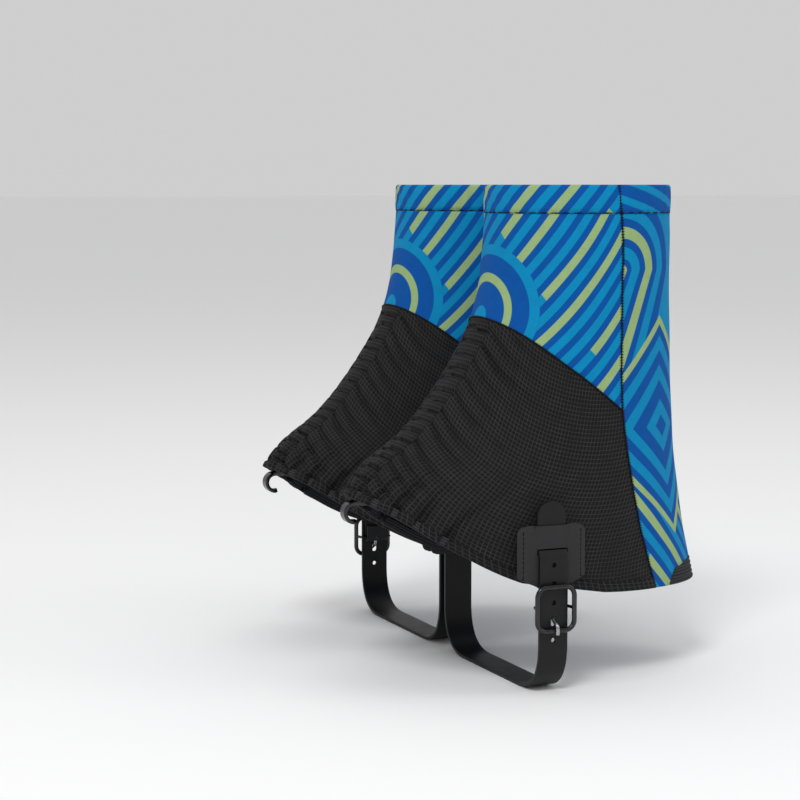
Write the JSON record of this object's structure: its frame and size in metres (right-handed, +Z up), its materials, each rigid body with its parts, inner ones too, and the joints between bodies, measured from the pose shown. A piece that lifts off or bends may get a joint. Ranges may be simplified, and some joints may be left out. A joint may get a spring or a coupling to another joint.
{
  "type": "trail gaiters",
  "caption": "Pair of low trail-running gaiters: printed stretch ankle sleeve, black ripstop instep cover, lace hook and buckled under-foot strap.",
  "frame": {"origin": "on the ground midway between the two gaiters, at the middle of their box", "axes": "+Z up along the legs, -X towards the toes, left gaiter at -Y"},
  "size_m": [0.1872, 0.2292, 0.2374],
  "materials": {
    "printed_knit": "smooth stretch knit printed in two blues and green",
    "ripstop": "matte black ripstop with a fine raised grid",
    "elastic": "black ribbed elastic",
    "coated_patch": "matte dark grey coated patch",
    "strap_rubber": "smooth satin black strap",
    "black_metal": "gloss black plated metal",
    "bright_metal": "dark polished metal",
    "webbing": "black woven tape"
  },
  "bodies": {
    "left_gaiter": {"left_cuff_hem": "printed_knit", "left_cuff_elastic": "elastic", "left_upper_front_panel": "printed_knit", "left_lower_panel": "ripstop", "left_instep_hem": "ripstop", "left_rear_panel": "printed_knit", "left_heel_elastic": "elastic", "left_instep_elastic": "elastic", "left_gather_tape": "elastic", "left_buckle_patch": "coated_patch", "left_strap": "strap_rubber", "left_strap_anchor_patch": "coated_patch", "left_anchor_rivets": "black_metal", "left_hook_loop": "webbing"},
    "left_buckle": {"left_buckle_frame": "black_metal"},
    "left_prong": {"left_buckle_prong": "bright_metal"},
    "left_hook": {"left_lace_hook": "black_metal"},
    "right_gaiter": {"right_cuff_hem": "printed_knit", "right_cuff_elastic": "elastic", "right_upper_front_panel": "printed_knit", "right_lower_panel": "ripstop", "right_instep_hem": "ripstop", "right_rear_panel": "printed_knit", "right_heel_elastic": "elastic", "right_instep_elastic": "elastic", "right_gather_tape": "elastic", "right_buckle_patch": "coated_patch", "right_strap": "strap_rubber", "right_strap_anchor_patch": "coated_patch", "right_anchor_rivets": "black_metal", "right_hook_loop": "webbing"},
    "right_buckle": {"right_buckle_frame": "black_metal"},
    "right_prong": {"right_buckle_prong": "bright_metal"},
    "right_hook": {"right_lace_hook": "black_metal"}
  },
  "joints": [
    {"name": "pair_slide", "type": "slide", "parent": "left_gaiter", "child": "right_gaiter", "axis": [0, 1, 0], "range_m": [0, 0.25]},
    {"name": "left_hook_swing", "type": "hinge", "parent": "left_gaiter", "child": "left_hook", "pos_m": [-0.077, -0.055, 0.0876], "axis": [0, 1, 0], "range_deg": [-60, 5]},
    {"name": "left_buckle_rock", "type": "hinge", "parent": "left_gaiter", "child": "left_buckle", "pos_m": [-0.0095, -0.106, 0.041], "axis": [-1, 0, 0], "range_deg": [-3, 3]},
    {"name": "left_prong_lift", "type": "hinge", "parent": "left_buckle", "child": "left_prong", "pos_m": [-0.0095, -0.106, 0.041], "axis": [-1, 0, 0], "range_deg": [0, 5]},
    {"name": "right_hook_swing", "type": "hinge", "parent": "right_gaiter", "child": "right_hook", "pos_m": [-0.077, 0.055, 0.0876], "axis": [0, 1, 0], "range_deg": [-60, 5]},
    {"name": "right_buckle_rock", "type": "hinge", "parent": "right_gaiter", "child": "right_buckle", "pos_m": [-0.0095, 0.106, 0.041], "axis": [1, 0, 0], "range_deg": [-3, 3]},
    {"name": "right_prong_lift", "type": "hinge", "parent": "right_buckle", "child": "right_prong", "pos_m": [-0.0095, 0.106, 0.041], "axis": [1, 0, 0], "range_deg": [0, 5]}
  ]
}
